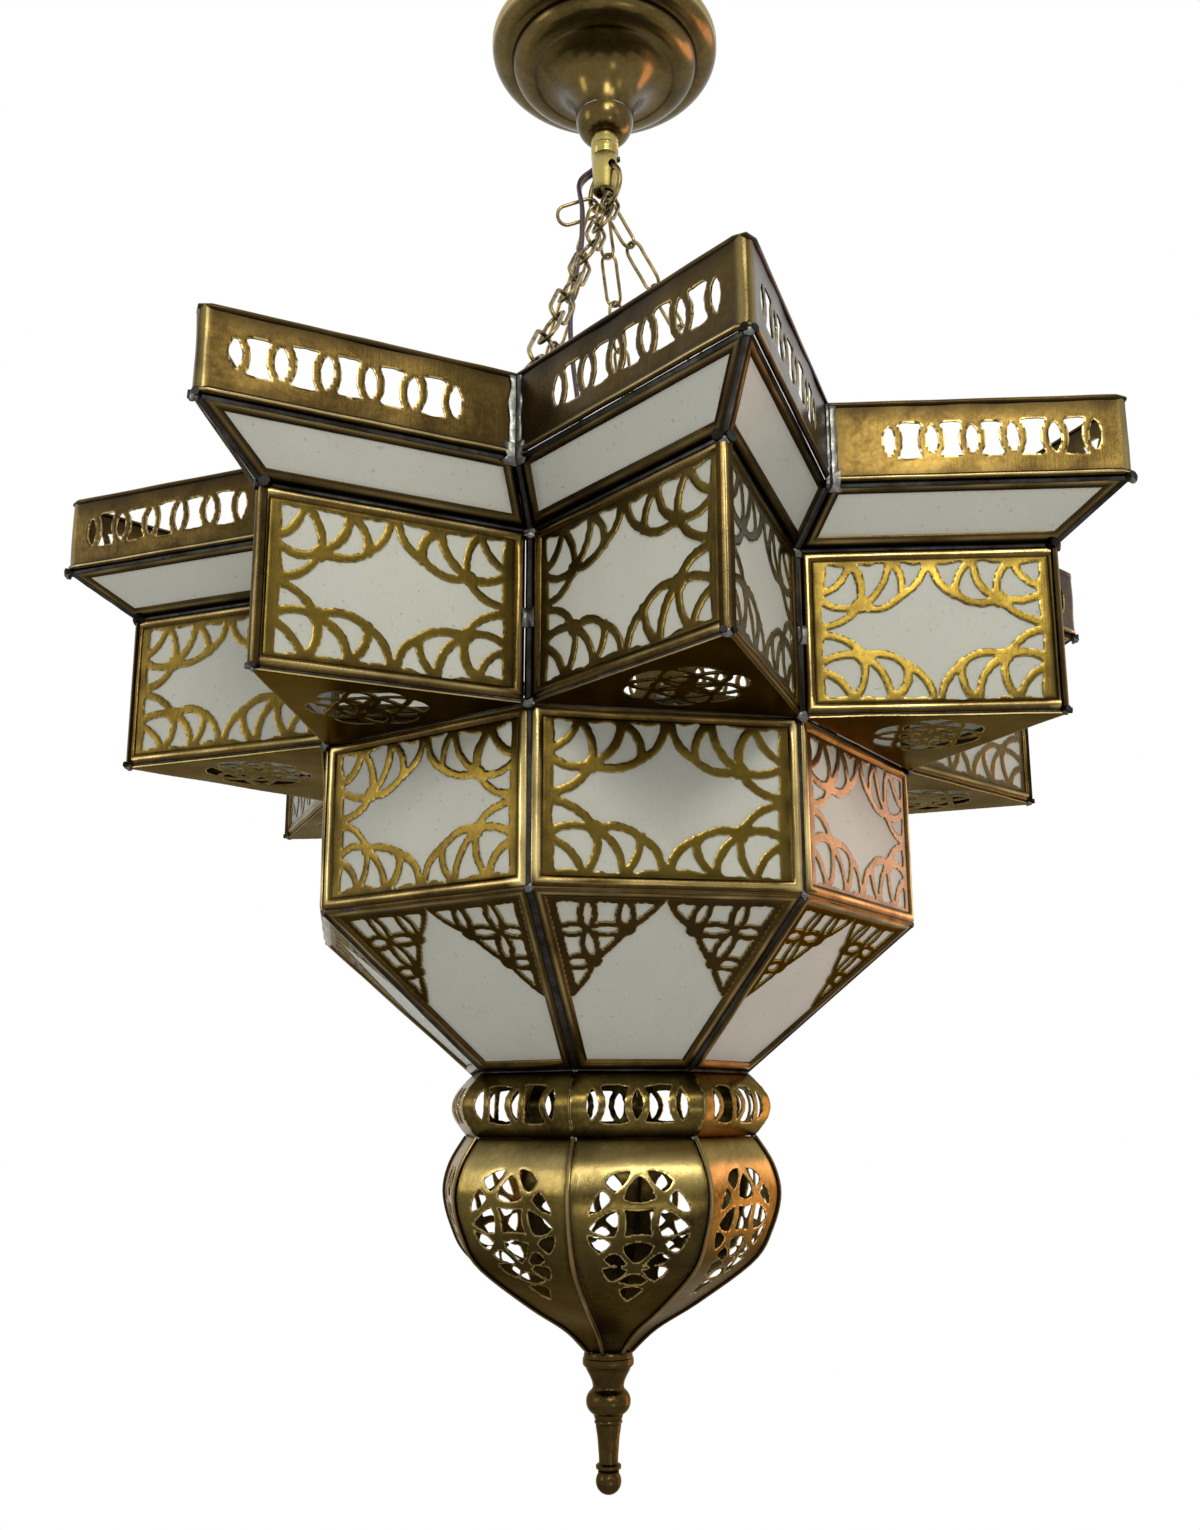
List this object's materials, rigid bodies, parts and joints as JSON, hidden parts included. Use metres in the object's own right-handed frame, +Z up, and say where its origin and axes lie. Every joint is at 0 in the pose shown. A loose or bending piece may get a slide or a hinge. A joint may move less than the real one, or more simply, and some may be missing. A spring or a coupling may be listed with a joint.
{
  "type": "pendant lantern",
  "caption": "Star-shaped pendant lantern of pierced antique brass and frosted glass, hung by chains from a ring under a spun ceiling rose",
  "frame": {"origin": "middle of the ceiling strap's upper face, on the ceiling plane", "axes": "+Z is up, the lantern hangs along -Z, and -Y points at the first star point"},
  "size_m": [0.57, 0.57, 0.8161],
  "materials": {
    "antique_brass": "hand-worked antique brass, dark patina in the seams",
    "pierced_brass": "sawn and filed brass sheet, lightly aged",
    "spun_brass": "spun and turned brass with brushed rings",
    "chain_brass": "drawn brass wire, darkened",
    "frosted_glass": "acid-frosted sheet glass",
    "opal_glass": "opal bulb glass",
    "zinc_steel": "zinc-plated steel",
    "black_steel": "blackened steel",
    "flex": "glossy dark flat twin flex",
    "bakelite": "black moulded lampholder"
  },
  "bodies": {
    "root": {"ceiling_strap": "zinc_steel", "nipple_nuts": "zinc_steel", "nipple": "spun_brass", "rose": "spun_brass", "bowl": "spun_brass", "stem": "spun_brass", "grub_screw": "black_steel", "inner_cord": "flex"},
    "ring": {"hang_ring": "spun_brass"},
    "lantern": {"chain_front": "chain_brass", "chain_right": "chain_brass", "chain_back": "chain_brass", "chain_left": "chain_brass", "spare_link": "chain_brass", "chain_eyes": "chain_brass", "lamp_cord": "flex", "gallery": "antique_brass", "flare_frames": "antique_brass", "flare_glass": "frosted_glass", "point_frames_1": "antique_brass", "point_frames_2": "antique_brass", "point_frames_3": "antique_brass", "point_frames_4": "antique_brass", "point_frames_5": "antique_brass", "point_frames_6": "antique_brass", "point_frames_7": "antique_brass", "point_frames_8": "antique_brass", "point_glass_1": "frosted_glass", "point_glass_2": "frosted_glass", "point_glass_3": "frosted_glass", "point_glass_4": "frosted_glass", "point_glass_5": "frosted_glass", "point_glass_6": "frosted_glass", "point_glass_7": "frosted_glass", "point_glass_8": "frosted_glass", "point_fretwork_1": "pierced_brass", "point_fretwork_2": "pierced_brass", "point_fretwork_3": "pierced_brass", "point_fretwork_4": "pierced_brass", "point_fretwork_5": "pierced_brass", "point_fretwork_6": "pierced_brass", "point_fretwork_7": "pierced_brass", "point_fretwork_8": "pierced_brass", "point_floors": "pierced_brass", "drum_frames": "antique_brass", "drum_glass": "frosted_glass", "drum_fretwork": "pierced_brass", "hopper_frames": "antique_brass", "hopper_glass": "frosted_glass", "hopper_fretwork": "pierced_brass", "collar": "antique_brass", "onion_gores": "antique_brass", "onion_ribs": "antique_brass", "ferrule": "antique_brass", "finial": "antique_brass", "lamp_bar": "pierced_brass", "lampholder": "bakelite", "bulb": "opal_glass"}
  },
  "joints": [
    {"name": "ring_swing", "type": "hinge", "parent": "root", "child": "ring", "pos_m": [0, 0, -0.0827], "axis": [0.5, -0.866, 0], "range_deg": [-25, 25], "deforming": ["lamp_cord"]},
    {"name": "lantern_swing", "type": "hinge", "parent": "ring", "child": "lantern", "pos_m": [0, 0, -0.0961], "axis": [-0.866, -0.5, 0], "range_deg": [-25, 25], "deforming": ["lamp_cord"]}
  ]
}
